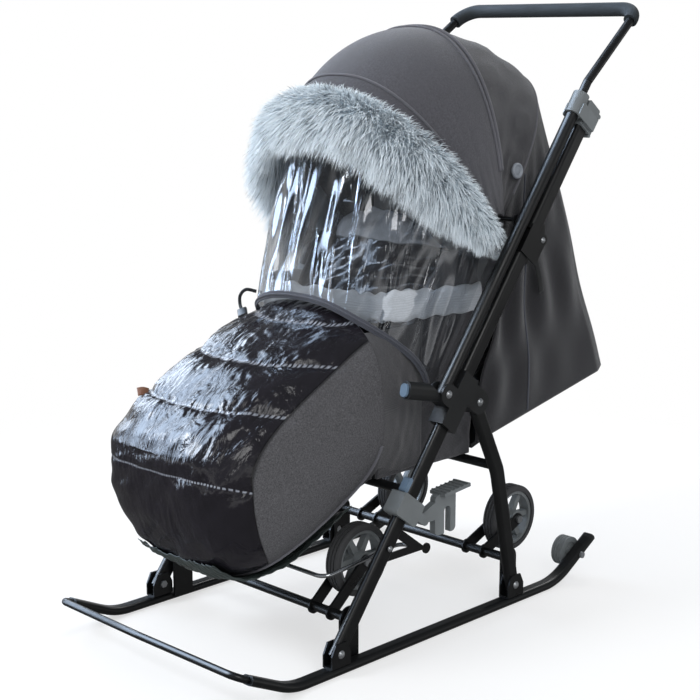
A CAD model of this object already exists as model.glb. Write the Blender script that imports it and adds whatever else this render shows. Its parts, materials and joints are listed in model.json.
import json
import math

import bmesh
import bpy
import numpy as np
from bpy.props import FloatProperty, IntProperty, PointerProperty, StringProperty
from mathutils import Matrix, Vector

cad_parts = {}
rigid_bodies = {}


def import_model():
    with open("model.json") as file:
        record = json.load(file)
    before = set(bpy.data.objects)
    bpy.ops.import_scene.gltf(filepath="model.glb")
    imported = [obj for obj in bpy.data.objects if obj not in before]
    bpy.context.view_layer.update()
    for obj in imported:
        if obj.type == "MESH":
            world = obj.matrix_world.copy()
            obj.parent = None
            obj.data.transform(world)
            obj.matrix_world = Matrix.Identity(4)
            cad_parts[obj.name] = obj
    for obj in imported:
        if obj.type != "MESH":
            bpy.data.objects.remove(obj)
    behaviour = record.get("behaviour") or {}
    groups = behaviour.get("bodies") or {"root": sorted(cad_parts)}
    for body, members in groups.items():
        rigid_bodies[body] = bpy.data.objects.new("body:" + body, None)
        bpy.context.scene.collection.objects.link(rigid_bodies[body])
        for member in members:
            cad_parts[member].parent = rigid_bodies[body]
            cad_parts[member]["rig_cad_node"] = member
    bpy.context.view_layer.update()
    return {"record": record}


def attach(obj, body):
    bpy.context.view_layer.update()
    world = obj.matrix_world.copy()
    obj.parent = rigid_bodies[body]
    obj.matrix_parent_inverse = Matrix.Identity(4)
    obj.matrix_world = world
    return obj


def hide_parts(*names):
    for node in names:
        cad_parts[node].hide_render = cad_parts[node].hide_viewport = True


bl_info = {
    "name": "Sled stroller",
    "version": (1, 0, 0),
    "blender": (4, 5, 0),
    "location": "View3D > Sidebar > Stroller",
    "description": "Fabrics, fur, window and finishes of a sled stroller",
    "category": "Add Mesh",
}

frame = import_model()

# Lines of the part that the cloth follows, in metres. The hood swings about a pivot line across the part.
# Its arches are superellipses, with a reach from that line and a half width along it.
HOOD_Y, HOOD_Z = 0.15387, 0.69019
HOOD_POWER = 2.4
FRONT_REACH, FRONT_HALF = 0.3255, 0.187
REAR_REACH, REAR_HALF = 0.3200, 0.1815
# Angles about the pivot line, in degrees: the split hoop, the rear part's two hoops, and the upper border of
# the drape.
SPLIT_ANGLE, REAR_FROM, REAR_TO, DRAPE_ANGLE = 94.0, 50.0, 96.0, 49.92
# The front of the hood is cut by a plane: its distance from the pivot line, its way up and its way out.
FRONT_GAP, FRONT_HEEL = 0.04129, -0.0221
FRONT_WAY, FRONT_OUT = np.array([-0.71585, 0.69826]), np.array([-0.69826, -0.71585])
# The window's upper border: its distance behind the front plane, its inset from the hood, and its heel.
FILM_BACK, FILM_INSET, FILM_HEEL = 0.006, 0.0054, -0.016
# The window's lower border: its foremost place and its run back at the sides, its half width, its lowest
# height and its rise to the middle, and its power.
FILM_FRONT, FILM_RUN, FILM_HALF, FILM_FOOT, FILM_RISE, FILM_POWER = -0.160, 0.128, 0.182, 0.397, 0.172, 2.6
# The fur's roll: how far its middle lies ahead of the front plane, its half depth, its lift off the hood,
# its half height, and the further lift where it hangs loose at the left.
FUR_AHEAD, FUR_HALF, FUR_LIFT, FUR_RISE, FUR_LOOSE = 0.019, 0.033, 0.008, 0.010, 0.024
# The main tubes' lower end, their lean and half depth, and the room between the middle plane and their
# inner faces.
TUBE_Y, TUBE_Z, TUBE_LEAN, TUBE_HALF, TUBE_ROOM = -0.29402, 0.036, math.radians(53.0), 0.022, 0.2165
# The foot muff's upper and lower lines, as Bezier points, and its rings' half width and power.
MUFF_TOP = ((-0.14002, 0.558), (-0.22402, 0.544), (-0.45002, 0.446), (-0.48502, 0.362))
MUFF_BASE = ((-0.13202, 0.228), (-0.22802, 0.192), (-0.46202, -0.011), (-0.48502, 0.362))
MUFF_HALF, MUFF_POWER = 0.178, 2.6
# Heights of the quilt seams on the muff's middle line, and the toe end of the piping round its base.
SEAM_LEVEL = np.array([0.331, 0.430, 0.489, 0.538])
PIPE_END = 0.62
# The back rest's hinge, and the slope of its board.
HINGE_Y, HINGE_Z, BACK_SLOPE = 0.11498, 0.274, math.radians(16.5)

# Points along and across each surface.
HOOD_GRID, FILM_GRID, MUFF_GRID, DRAPE_GRID = (260, 120), (260, 130), (260, 340), (280, 130)
FUR_STEPS = 240
# Walls of the cloths, in metres.
HOOD_WALL, CLOTH_WALL, BASE_WALL, FLAP_WALL, SEAT_WALL = 0.0032, 0.003, 0.0012, 0.009, 0.006
SIDES = (("right", 1.0), ("left", -1.0))

# Shiny nylon: its roughness and specular level, and the weight and roughness of its coat.
SATIN_ROUGH, SATIN_SPECULAR, SATIN_COAT, COAT_ROUGH = 0.17, 0.4, 0.2, 0.10
# Sizes in millimetres that the coated finishes share: clouds of gloss, and scuffs.
CLOUD_MM, SCUFF_MM = 60.0, 9.0
# A wave texture's scale for bands 1 mm apart: a tenth of pi, over that length in metres.
WAVE_MM = 314.16
WHITE = (1.0, 1.0, 1.0, 1.0)


class StrollerColours(bpy.types.PropertyGroup):
    """Colours as sRGB hex values."""

    tube: StringProperty(name="Tubes", description="Powder coat of the frame", default="0c0d0e")
    grey: StringProperty(name="Grey plastic", description="Latches, clamps and wheels", default="6b6f70")
    black: StringProperty(name="Black plastic", description="Housings, plugs and caps", default="191a1b")
    blue: StringProperty(name="Blue-grey plastic", description="Buttons and tabs", default="64788c")
    tyre: StringProperty(name="Tyres", description="Foamed rubber", default="3a3a3b")
    zinc: StringProperty(name="Zinc", description="Bolts and pins", default="b4b7ba")
    chrome: StringProperty(name="Wire", description="Bright wire under the muff", default="c9ccd0")
    grip: StringProperty(name="Grip", description="Foam sleeve", default="23282b")
    hood: StringProperty(name="Hood cloth", description="Woven polyester", default="535257")
    hood_rear: StringProperty(name="Rear cloth", description="Rear hood and seat walls", default="454447")
    drape: StringProperty(name="Drape cloth", description="Back drape, in the hood's shade", default="28272a")
    muff: StringProperty(name="Muff cloth", description="Sides of the foot muff", default="4e4d4f")
    satin: StringProperty(name="Satin", description="Quilted front of the foot muff", default="1d1b20")
    lining: StringProperty(name="Lining", description="Soft inner cloth", default="c4c9cf")
    fur_root: StringProperty(name="Fur root", description="Undercoat of the fur", default="98a9b5")
    fur_tip: StringProperty(name="Fur tip", description="Ends of the hairs", default="f0f7fb")
    inside: StringProperty(name="Inside", description="Plain lining of the cabin", default="dfe1e4")
    flap: StringProperty(name="Flap border", description="Fleece turned over the flap", default="8d9197")
    thread: StringProperty(name="Thread", description="Stitches in the satin", default="8f939c")
    piping: StringProperty(name="Piping", description="Piping of hood and muff", default="66656b")
    binding: StringProperty(name="Binding", description="Tape round the window", default="4c4e57")
    button: StringProperty(name="Snap button", description="Ringed discs on the hood", default="8a8f96")
    tarp: StringProperty(name="Base sheet", description="Coated sheet below the muff", default="39413f")
    leather: StringProperty(name="Tag", description="Small plain tag", default="6a4229")


class StrollerSizes(bpy.types.PropertyGroup):
    """Sizes of the soft pieces."""

    hood_bulge: FloatProperty(
        name="Hood bulge", description="Rise of the hood cloth between its hoops", default=0.005,
        unit="LENGTH",
    )
    fur_length: FloatProperty(
        name="Fur length", description="Length of a hair", default=0.038, unit="LENGTH"
    )
    fur_hairs: IntProperty(name="Fur hairs", description="Number of drawn hairs", default=32000, min=100)
    film_crease: FloatProperty(
        name="Film crease", description="Depth of the creases in the window", default=0.0028, unit="LENGTH"
    )
    quilt_puff: FloatProperty(
        name="Quilt puff", description="Depth of the seams below the puffs", default=0.011, unit="LENGTH"
    )
    drape_fold: FloatProperty(
        name="Drape fold", description="Depth of the folds at the back", default=0.007, unit="LENGTH"
    )


class StrollerStage(bpy.types.PropertyGroup):
    """Floor, lamps and camera."""

    floor: StringProperty(name="Floor", description="Plain pale floor", default="f6f6f6")
    floor_glow: FloatProperty(
        name="Floor glow", description="Share of plain white in what the camera sees", default=0.6,
        subtype="FACTOR",
    )
    key: FloatProperty(
        name="Key lamp", description="Soft lamp at the front left", default=60.0, subtype="POWER"
    )
    fill: FloatProperty(
        name="Fill lamp", description="Soft lamps at the right and the back", default=26.0, subtype="POWER"
    )
    window: FloatProperty(
        name="Window lamp", description="Soft lamp at the left", default=30.0, subtype="POWER"
    )
    pane: FloatProperty(
        name="Window glare", description="Brightness of the windows in mirrors", default=13.0
    )
    lens: FloatProperty(name="Lens", description="Focal length", default=77.787, subtype="DISTANCE_CAMERA")


def linear(code):
    """sRGB hex to linear RGBA."""
    value = np.array([int(code[k : k + 2], 16) for k in (0, 2, 4)]) / 255.0
    value = np.where(value <= 0.04045, value / 12.92, ((value + 0.055) / 1.055) ** 2.4)
    return (*[float(v) for v in value], 1.0)


def shade(code, factor):
    """A linear colour, lighter or darker by a factor."""
    return (*[min(1.0, v * factor) for v in linear(code)[:3]], 1.0)


def feed(tree, socket, value):
    """Link another node's socket to an input, or set the input's own value."""
    if isinstance(value, bpy.types.NodeSocket):
        tree.links.new(value, socket)
    else:
        socket.default_value = value


def add(tree, kind, inputs=None, ramp=(), **settings):
    """Add a node with its settings, its values and links, and the stops of its colour ramp if it has one."""
    node = tree.nodes.new(kind)
    for key, value in settings.items():
        setattr(node, key, value)
    for key, value in (inputs or {}).items():
        feed(tree, node.inputs[key], value)
    for number, (position, colour) in enumerate(ramp):
        stop = node.color_ramp.elements[number]
        stop.position, stop.color = position, colour
    return node


def begin(name):
    """An empty material: its tree and its shader."""
    made = bpy.data.materials.new(name)
    made.use_nodes = True
    return made, made.node_tree, made.node_tree.nodes["Principled BSDF"]


def join(tree, node, **links):
    """Values or sockets onto a node's inputs, with underscores for the spaces in their names."""
    for key, value in links.items():
        feed(tree, node.inputs[key.replace("_", " ")], value)


def coated(name, code, roughness, grain_mm, depth_mm, metallic=0.0, wear=1.6, patch=0.1):
    """A moulded, coated or plated surface: fine grain, gloss that differs by patch, and lighter scuffs.

    The grain's size and depth are given in millimetres. A real grain of about 0.1 mm is drawn coarser, so
    that it shows.
    """
    made, tree, shader = begin(name)
    where = add(tree, "ShaderNodeTexCoord").outputs["Object"]
    grain, cloud, scuff = [
        add(
            tree, "ShaderNodeTexNoise",
            {"Vector": where, "Scale": 1000.0 / size_mm, "Detail": detail, "Roughness": rough},
        ).outputs["Fac"]
        for size_mm, detail, rough in ((grain_mm, 3.0, 0.5), (CLOUD_MM, 5.0, 0.5), (SCUFF_MM, 6.0, 0.7))
    ]
    colour = add(
        tree, "ShaderNodeValToRGB", {"Fac": cloud}, ramp=((0.3, shade(code, 0.86)), (0.7, shade(code, 1.12)))
    ).outputs["Color"]
    mark = add(
        tree, "ShaderNodeMapRange", {"Value": scuff, "From Min": 0.62, "From Max": 0.78, "To Max": 0.5}
    ).outputs["Result"]
    pale = shade(code, wear)
    worn = add(tree, "ShaderNodeMix", {0: mark, 6: colour, 7: pale}, data_type="RGBA").outputs[2]
    least, most = roughness - patch, roughness + patch
    gloss = add(
        tree, "ShaderNodeMapRange",
        {"Value": cloud, "From Min": 0.3, "From Max": 0.7, "To Min": least, "To Max": most},
    ).outputs["Result"]
    bump = add(tree, "ShaderNodeBump", {"Height": grain, "Distance": depth_mm / 1000.0, "Strength": 1.0})
    join(tree, shader, Base_Color=worn, Roughness=gloss, Normal=bump.outputs["Normal"], Metallic=metallic)
    return made


def melange(tree, where, code, grain_mm, mottle):
    """Lighter and darker yarn, in grains of a size: its colour, and its height for a bump."""
    yarn = add(
        tree, "ShaderNodeTexNoise",
        {"Vector": where, "Scale": 1000.0 / grain_mm, "Detail": 4.0, "Roughness": 0.75},
    ).outputs["Fac"]
    tones = ((0.35, shade(code, 1.0 - mottle)), (0.68, shade(code, 1.0 + mottle * 1.4)))
    return add(tree, "ShaderNodeValToRGB", {"Fac": yarn}, ramp=tones).outputs["Color"], yarn


def woven(name, code, thread_mm, roughness=0.85, sheen=0.25, mottle=0.36):
    """Woven cloth: crossing threads on the piece's own map, lighter and darker yarn, and soft sheen.

    The real thread is about 0.4 mm; it is drawn coarser, at thread_mm, so that it shows.
    """
    made, tree, shader = begin(name)
    spot = add(tree, "ShaderNodeTexCoord")
    warp, weft = [
        add(
            tree, "ShaderNodeTexWave",
            {"Vector": spot.outputs["UV"], "Scale": WAVE_MM / thread_mm, "Distortion": 0.6, "Detail": 1.0},
            wave_type="BANDS", bands_direction=way,
        ).outputs["Fac"]
        for way in "XY"
    ]
    weave = add(tree, "ShaderNodeMath", {0: warp, 1: weft}, operation="MULTIPLY").outputs["Value"]
    base, yarn = melange(tree, spot.outputs["Object"], code, 3.2, mottle)
    cloud = add(
        tree, "ShaderNodeTexNoise", {"Vector": spot.outputs["Object"], "Scale": 1000.0 / 90.0, "Detail": 3.0}
    ).outputs["Fac"]
    tint = add(tree, "ShaderNodeMix", {0: cloud, 6: base, 7: shade(code, 0.9)}, data_type="RGBA").outputs[2]
    dark = add(tree, "ShaderNodeMix", {0: 0.22, 6: tint, 7: weave}, data_type="RGBA", blend_type="MULTIPLY")
    bump = add(tree, "ShaderNodeBump", {"Height": weave, "Distance": 0.0004, "Strength": 0.8})
    grit = add(
        tree, "ShaderNodeBump",
        {"Height": yarn, "Distance": 0.0006, "Strength": 0.6, "Normal": bump.outputs["Normal"]},
    )
    join(
        tree, shader, Base_Color=dark.outputs[2], Roughness=roughness, Normal=grit.outputs["Normal"],
        Sheen_Weight=sheen, Sheen_Roughness=0.5, Specular_IOR_Level=0.25,
    )
    return made


def satin_nodes(tree, code, where):
    """Colour and normal of shiny nylon: upright puckers 24 mm apart and 90 mm long, finer ones of 9 mm."""
    scale = (1000.0 / 24.0, 1000.0 / 80.0, 1000.0 / 90.0)
    long = add(tree, "ShaderNodeMapping", {"Vector": where, "Scale": scale})
    crease = add(
        tree, "ShaderNodeTexNoise",
        {
            "Vector": long.outputs["Vector"], "Scale": 1.0, "Detail": 4.0, "Roughness": 0.55,
            "Distortion": 0.9,
        },
    ).outputs["Fac"]
    fine = add(
        tree, "ShaderNodeTexNoise", {"Vector": where, "Scale": 1000.0 / 9.0, "Detail": 3.0}
    ).outputs["Fac"]
    colour = add(
        tree, "ShaderNodeValToRGB", {"Fac": crease}, ramp=((0.3, shade(code, 0.75)), (0.7, shade(code, 1.3)))
    ).outputs["Color"]
    bump = add(tree, "ShaderNodeBump", {"Height": crease, "Distance": 0.011, "Strength": 0.6})
    last = add(
        tree, "ShaderNodeBump",
        {"Height": fine, "Distance": 0.0008, "Strength": 0.5, "Normal": bump.outputs["Normal"]},
    )
    return colour, last.outputs["Normal"]


def satin_cloth(c):
    """Shiny dark nylon satin."""
    made, tree, shader = begin("nylon_satin")
    colour, normal = satin_nodes(tree, c.satin, add(tree, "ShaderNodeTexCoord").outputs["Object"])
    join(
        tree, shader, Base_Color=colour, Normal=normal, Roughness=SATIN_ROUGH,
        Specular_IOR_Level=SATIN_SPECULAR, Coat_Weight=SATIN_COAT, Coat_Roughness=COAT_ROUGH,
    )
    return made


def two_cloths(c, name, code, grain_mm, mottle):
    """Shiny satin that meets a dull cloth at a sewn border.

    The attribute "cut" is a distance in metres from that border, above zero on the dull cloth. The stitch
    line along it is darker. Stitches of pale thread, 5 mm apart, run where the attribute "seam" is near 1.
    """
    made, tree, shader = begin(name)
    where = add(tree, "ShaderNodeTexCoord").outputs["Object"]
    cut, seam = [
        add(tree, "ShaderNodeAttribute", attribute_name=key).outputs["Fac"] for key in ("cut", "seam")
    ]
    side = add(
        tree, "ShaderNodeMapRange", {"Value": cut, "From Min": -0.0006, "From Max": 0.0006}
    ).outputs["Result"]
    satin, satin_normal = satin_nodes(tree, c.satin, where)
    cloth, yarn = melange(tree, where, code, grain_mm, mottle)
    tone = add(tree, "ShaderNodeMix", {0: side, 6: satin, 7: cloth}, data_type="RGBA").outputs[2]

    run = add(tree, "ShaderNodeTexWave", {"Vector": where, "Scale": WAVE_MM / 5.0}, bands_direction="X")
    line, dash = [
        add(tree, "ShaderNodeMapRange", {"Value": value, "From Min": start, "From Max": end})
        for value, start, end in ((seam, 0.955, 0.985), (run.outputs["Fac"], 0.25, 0.45))
    ]
    both = add(
        tree, "ShaderNodeMath", {0: line.outputs["Result"], 1: dash.outputs["Result"]}, operation="MULTIPLY"
    ).outputs["Value"]
    shown = add(tree, "ShaderNodeMath", {0: both, 1: side}, operation="SUBTRACT", use_clamp=True)
    stitch = {0: shown.outputs["Value"], 6: tone, 7: linear(c.thread)}
    tone = add(tree, "ShaderNodeMix", stitch, data_type="RGBA").outputs[2]

    away = add(tree, "ShaderNodeMath", {0: cut}, operation="ABSOLUTE").outputs["Value"]
    border = add(
        tree, "ShaderNodeMapRange", {"Value": away, "From Min": 0.0006, "From Max": 0.0018, "To Min": 0.35}
    ).outputs["Result"]
    lined = add(tree, "ShaderNodeMix", {0: 1.0, 6: tone, 7: border}, data_type="RGBA", blend_type="MULTIPLY")
    grit = add(tree, "ShaderNodeBump", {"Height": yarn, "Distance": 0.0008, "Strength": 0.7})
    pair = {0: side, 4: satin_normal, 5: grit.outputs["Normal"]}
    lie = add(tree, "ShaderNodeMix", pair, data_type="VECTOR")
    gloss = add(tree, "ShaderNodeMapRange", {"Value": side, "To Min": SATIN_ROUGH, "To Max": 0.86})
    coat = add(tree, "ShaderNodeMapRange", {"Value": side, "To Min": SATIN_COAT, "To Max": 0.0})
    join(
        tree, shader, Base_Color=lined.outputs[2], Roughness=gloss.outputs["Result"], Normal=lie.outputs[1],
        Specular_IOR_Level=SATIN_SPECULAR, Coat_Weight=coat.outputs["Result"], Coat_Roughness=COAT_ROUGH,
    )
    return made


def fur_hair(c):
    """Acrylic fur: greyer roots, pale tips, and some hairs with dark tips.

    The attribute "along" runs from 0 at the root to 1 at the tip, and "tone" picks the dark hairs near 1.
    """
    made, tree, shader = begin("acrylic_fur")
    along, tone = [
        add(tree, "ShaderNodeAttribute", attribute_name=key).outputs["Fac"] for key in ("along", "tone")
    ]
    pale, dark = [
        add(tree, "ShaderNodeValToRGB", {"Fac": along}, ramp=stops).outputs["Color"]
        for stops in (
            ((0.05, linear(c.fur_root)), (0.75, linear(c.fur_tip))),
            ((0.25, shade(c.fur_root, 0.9)), (0.8, shade(c.fur_root, 0.10))),
        )
    ]
    pick = add(
        tree, "ShaderNodeMapRange", {"Value": tone, "From Min": 0.74, "From Max": 0.82}
    ).outputs["Result"]
    colour = add(tree, "ShaderNodeMix", {0: pick, 6: pale, 7: dark}, data_type="RGBA").outputs[2]
    join(tree, shader, Base_Color=colour, Roughness=0.5, Sheen_Weight=0.3, Specular_IOR_Level=0.35)
    return made


def clear_film():
    """Clear soft vinyl: sees through straight on, mirrors at a slant; creases 34 mm apart and faint haze."""
    made, tree, shader = begin("clear_vinyl")
    where = add(tree, "ShaderNodeTexCoord").outputs["UV"]
    long = add(tree, "ShaderNodeMapping", {"Vector": where, "Scale": (1000.0 / 34.0, 1000.0 / 260.0, 1.0)})
    crease = add(
        tree, "ShaderNodeTexNoise",
        {
            "Vector": long.outputs["Vector"], "Scale": 1.0, "Detail": 3.0, "Roughness": 0.45,
            "Distortion": 1.1,
        },
    ).outputs["Fac"]
    ridge = add(
        tree, "ShaderNodeMapRange", {"Value": crease, "From Min": 0.54, "From Max": 0.74},
        interpolation_type="SMOOTHSTEP",
    ).outputs["Result"]
    bump = add(tree, "ShaderNodeBump", {"Height": ridge, "Distance": 0.006, "Strength": 0.8})
    normal = bump.outputs["Normal"]
    clear, milky, bright = linear("f4f6f8"), linear("eef3f8"), linear("f8fbff")
    glass = add(tree, "ShaderNodeBsdfTransparent", {"Color": clear}).outputs["BSDF"]
    haze = add(tree, "ShaderNodeBsdfTranslucent", {"Color": milky, "Normal": normal}).outputs["BSDF"]
    gloss = add(tree, "ShaderNodeBsdfGlossy", {"Color": bright, "Roughness": 0.09, "Normal": normal})
    slant = add(tree, "ShaderNodeFresnel", {"IOR": 1.52, "Normal": normal}).outputs["Fac"]
    part = add(
        tree, "ShaderNodeMapRange", {"Value": slant, "From Max": 0.6, "To Min": 0.05, "To Max": 0.85}
    ).outputs["Result"]
    milk = add(tree, "ShaderNodeMixShader", {0: 0.05, 1: glass, 2: haze}).outputs["Shader"]
    whole = add(tree, "ShaderNodeMixShader", {0: part, 1: milk, 2: gloss.outputs["BSDF"]}).outputs["Shader"]
    tree.nodes.remove(shader)
    join(tree, tree.nodes["Material Output"], Surface=whole)
    return made


def materials(scene):
    """All materials, keyed by the finish they stand for."""
    c = scene.stroller_colours
    return {
        # Powder coat is smooth with a faint orange peel of about 1 mm.
        "frame_paint": coated("powder_coated_steel", c.tube, 0.36, 1.1, 0.03, wear=2.2),
        # Moulded ABS and polyamide have a fine spark-eroded grain and a satin gloss.
        "grey_plastic": coated("moulded_grey_abs", c.grey, 0.48, 0.9, 0.05),
        "black_plastic": coated("moulded_black_polyamide", c.black, 0.42, 0.9, 0.05, wear=2.2),
        "blue_grey_plastic": coated("moulded_blue_grey_abs", c.blue, 0.40, 0.9, 0.04),
        "button": coated("moulded_button", c.button, 0.40, 0.9, 0.03),
        # Foamed rubber is dull and dusty.
        "tyre_rubber": coated("foamed_rubber", c.tyre, 0.85, 2.0, 0.15, wear=1.9, patch=0.05),
        # Zinc plate is a soft grey metal with a cloudy gloss, and chrome a clean mirror.
        "zinc": coated("zinc_plated_steel", c.zinc, 0.34, 0.8, 0.02, metallic=0.9, wear=1.1),
        "chrome_wire": coated(
            "chromed_wire", c.chrome, 0.18, 0.8, 0.01, metallic=1.0, wear=1.05, patch=0.05
        ),
        # Foam sleeves have open cells of about 1.5 mm.
        "foam_grip": coated("foam_sleeve", c.grip, 0.82, 1.5, 0.35, wear=1.4, patch=0.06),
        # Woven polyester is dull, with mixed yarns and a faint sheen.
        "hood_fabric": woven("woven_polyester", c.hood, 1.8),
        "gusset": woven("woven_gusset", c.muff, 1.8),
        "rear_fabric": woven("woven_polyester_dark", c.hood_rear, 1.8),
        "drape": woven("woven_drape", c.drape, 1.8),
        "seat_fabric": woven("seat_polyester", c.hood_rear, 1.8),
        # Tapes have finer, even threads, and webbing is smoother.
        "piping": woven("piping_tape", c.piping, 1.2, mottle=0.1),
        "binding": woven("binding_tape", c.binding, 1.2, mottle=0.1),
        "webbing": woven("nylon_webbing", c.black, 1.6, roughness=0.6, sheen=0.1),
        # Fleece is soft and pale with a strong sheen; the cabin's lining is plainer.
        "lining": woven("soft_fleece", c.lining, 2.4, roughness=0.95, sheen=0.7, mottle=0.12),
        "inside": woven("plain_lining", c.inside, 1.8, roughness=0.9, sheen=0.3, mottle=0.08),
        # Leather has small pores, and a coated sheet wide shallow dents.
        "leather": coated("plain_leather", c.leather, 0.6, 1.2, 0.2, wear=1.4),
        "tarp": coated("coated_sheet", c.tarp, 0.34, 6.0, 0.6, wear=1.8, patch=0.12),
        # The muff is satin in front and woven polyester at its sides; the flap's border is fleece.
        "satin": satin_cloth(c),
        "muff": two_cloths(c, "quilted_muff", c.muff, 2.4, 0.46),
        "flap": two_cloths(c, "quilted_flap", c.flap, 5.0, 0.10),
        "fur": fur_hair(c),
        "film": clear_film(),
    }


def power(v, p):
    """Signed root that turns a circle's sine or cosine into a superellipse's."""
    return np.sign(v) * np.abs(v) ** (2.0 / p)


def bezier(points, t):
    """Cubic Bezier curve: its four points weighed by the Bernstein terms of t."""
    p, t = np.array(points, float), np.asarray(t, float)[..., None]
    return (1 - t) ** 3 * p[0] + 3 * (1 - t) ** 2 * t * p[1] + 3 * (1 - t) * t**2 * p[2] + t**3 * p[3]


def waves(u, v, seed, count=7, low=1.0, high=5.0):
    """Smooth unevenness of about -1 to 1: a sum of plane sine waves with seeded directions and phases."""
    rng = np.random.default_rng(seed)
    turn, phase = rng.uniform(0, 2 * np.pi, count), rng.uniform(0, 2 * np.pi, count)
    k = 2 * np.pi * rng.uniform(low, high, count)
    arg = u[..., None] * (k * np.cos(turn)) + v[..., None] * (k * np.sin(turn)) + phase
    return np.sin(arg).sum(-1) / math.sqrt(count)


def unit(vectors, least=1e-12):
    """Vectors of length one."""
    return vectors / np.maximum(np.linalg.norm(vectors, axis=-1, keepdims=True), least)


def normals(points):
    """Unit normals of a grid: the cross product of its two gradients."""
    return unit(np.cross(np.gradient(points, axis=0), np.gradient(points, axis=1)))


def dress(mesh, fields):
    """Put fields of one value a point on a mesh, and smooth its shading."""
    for key, value in fields.items():
        field = mesh.attributes.new(key, "FLOAT", "POINT")
        field.data.foreach_set("value", value.reshape(-1).astype(np.float32))
    mesh.polygons.foreach_set("use_smooth", np.ones(len(mesh.polygons), bool))


def show(name, mesh, material):
    """An object for a mesh, in the scene and with its material."""
    obj = bpy.data.objects.new(name, mesh)
    bpy.context.scene.collection.objects.link(obj)
    obj.data.materials.append(material)
    return obj


def skin(name, points, material, wrap=(False, False), flip=False, fields=None, weld=False):
    """Quads between neighbours of a grid of points, with a map in metres along both ways of the grid."""
    nu, nv = points.shape[:2]
    i, j = np.meshgrid(np.arange(nu - (not wrap[0])), np.arange(nv - (not wrap[1])), indexing="ij")
    corner = np.stack([(i, j), (i + 1, j), (i + 1, j + 1), (i, j + 1)], -1)
    if flip:
        corner = corner[..., ::-1]
    index = ((corner[0] % nu) * nv + corner[1] % nv).reshape(-1, 4)
    mesh = bpy.data.meshes.new(name)
    mesh.from_pydata(points.reshape(-1, 3).tolist(), [], index.tolist())
    step_u = np.linalg.norm(np.diff(points, axis=0), axis=-1).mean()
    step_v = np.linalg.norm(np.diff(points, axis=1), axis=-1).mean()
    chart = np.stack([corner[0] * step_u, corner[1] * step_v], -1)
    mesh.uv_layers.new(name="UVMap").data.foreach_set("uv", chart.reshape(-1).astype(np.float32))
    dress(mesh, fields or {})
    if weld:
        work = bmesh.new()
        work.from_mesh(mesh)
        bmesh.ops.remove_doubles(work, verts=work.verts, dist=1e-6)
        work.to_mesh(mesh)
        work.free()
    return show(name, mesh, material)


def turn_out(obj):
    """Turn a closed shell's faces outwards."""
    work = bmesh.new()
    work.from_mesh(obj.data)
    bmesh.ops.recalc_face_normals(work, faces=work.faces)
    work.to_mesh(obj.data)
    work.free()


def thicken(obj, thickness, offset=-1.0):
    """Give a sheet its wall."""
    wall = obj.modifiers.new("wall", "SOLIDIFY")
    wall.thickness, wall.offset, wall.use_even_offset = thickness, offset, False


def carry(path, profile, up, taper=True):
    """A closed profile carried along a path: each ring is a point plus the profile on its side and normal.

    With taper the first and last rings shrink to the path's ends, which closes them.
    """
    path, profile, up = np.asarray(path, float), np.asarray(profile, float), np.asarray(up, float)
    along = unit(np.gradient(path, axis=0))
    side = unit(np.cross(along, np.broadcast_to(up, along.shape)), 1e-9)
    over = np.cross(side, along)
    ring = path[:, None] + side[:, None] * profile[None, :, :1] + over[:, None] * profile[None, :, 1:]
    if taper:
        first, last = [np.repeat(end[:, None], len(profile), 1) for end in (path[:1], path[-1:])]
        ring = np.concatenate([first, ring, last])
    return ring


def oval(width, height, count=12, square=2.0):
    """Superellipse profile of a given width and height."""
    a = np.linspace(0, 2 * np.pi, count, endpoint=False)
    return np.stack([power(np.cos(a), square) * width / 2, power(np.sin(a), square) * height / 2], -1)


def turned(profile, centre, axis, count=40):
    """A profile of radius and height turned round an axis; its first and last radius are zero."""
    axis = np.asarray(axis, float) / np.linalg.norm(axis)
    first = unit(np.cross(axis, (0.0, 0.0, 1.0)))
    second = np.cross(axis, first)
    a = np.linspace(0, 2 * np.pi, count, endpoint=False)[None, :, None]
    ring, height = np.asarray(profile, float)[:, :1, None], np.asarray(profile, float)[:, 1:, None]
    return np.asarray(centre, float) + ring * (np.cos(a) * first + np.sin(a) * second) + height * axis


def smooth_path(points, count):
    """A path through points: Catmull-Rom spans sampled evenly."""
    p = np.asarray(points, float)
    p = np.concatenate([2 * p[:1] - p[1:2], p, 2 * p[-1:] - p[-2:-1]])
    s = np.linspace(0, len(p) - 3, count)
    k = np.minimum(s.astype(int), len(p) - 4)
    f = (s - k)[:, None]
    a, b, c, d = p[k], p[k + 1], p[k + 2], p[k + 3]
    return 0.5 * (2 * b + (c - a) * f + (2 * a - 5 * b + 4 * c - d) * f**2 + (3 * b - a - 3 * c + d) * f**3)


def even(line, count):
    """Parameters from 0 to pi that cut a line into even steps, and the line's length."""
    t = np.linspace(0, np.pi, 4001)
    s = np.concatenate([[0.0], np.cumsum(np.linalg.norm(np.diff(line(t), axis=0), axis=-1))])
    return np.interp(np.linspace(0, s[-1], count), s, t), float(s[-1])


def ruled(first, second, v):
    """Straight lines from each point of one border to the same point of another; v runs from 0 to 1."""
    v = np.asarray(v)[..., None]
    return first * (1 - v) + second * v


def finish(name):
    """A material that was made with the hard finishes."""
    return bpy.data.materials[name]


def belong(obj, body, node=None):
    """Let a piece ride on a body, take its finish from a slot and, with node, stand for a solid."""
    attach(obj, body)
    if node:
        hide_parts(node)
    return obj


def piece(name, points, material, body, slot, node=None, **how):
    """A surface from a grid of points that belongs to a body."""
    return belong(skin(name, points, finish(material), **how), body, node)


def sewn(name, path, width, height, up, material, body, slot="hood_fabric", square=2.0):
    """A cord or tape sewn along a path: a superellipse profile carried along it, closed at both ends."""
    ring = carry(path, oval(width, height, 12, square), up)
    return piece(name, ring, material, body, slot, wrap=(False, True), weld=True)


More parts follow.
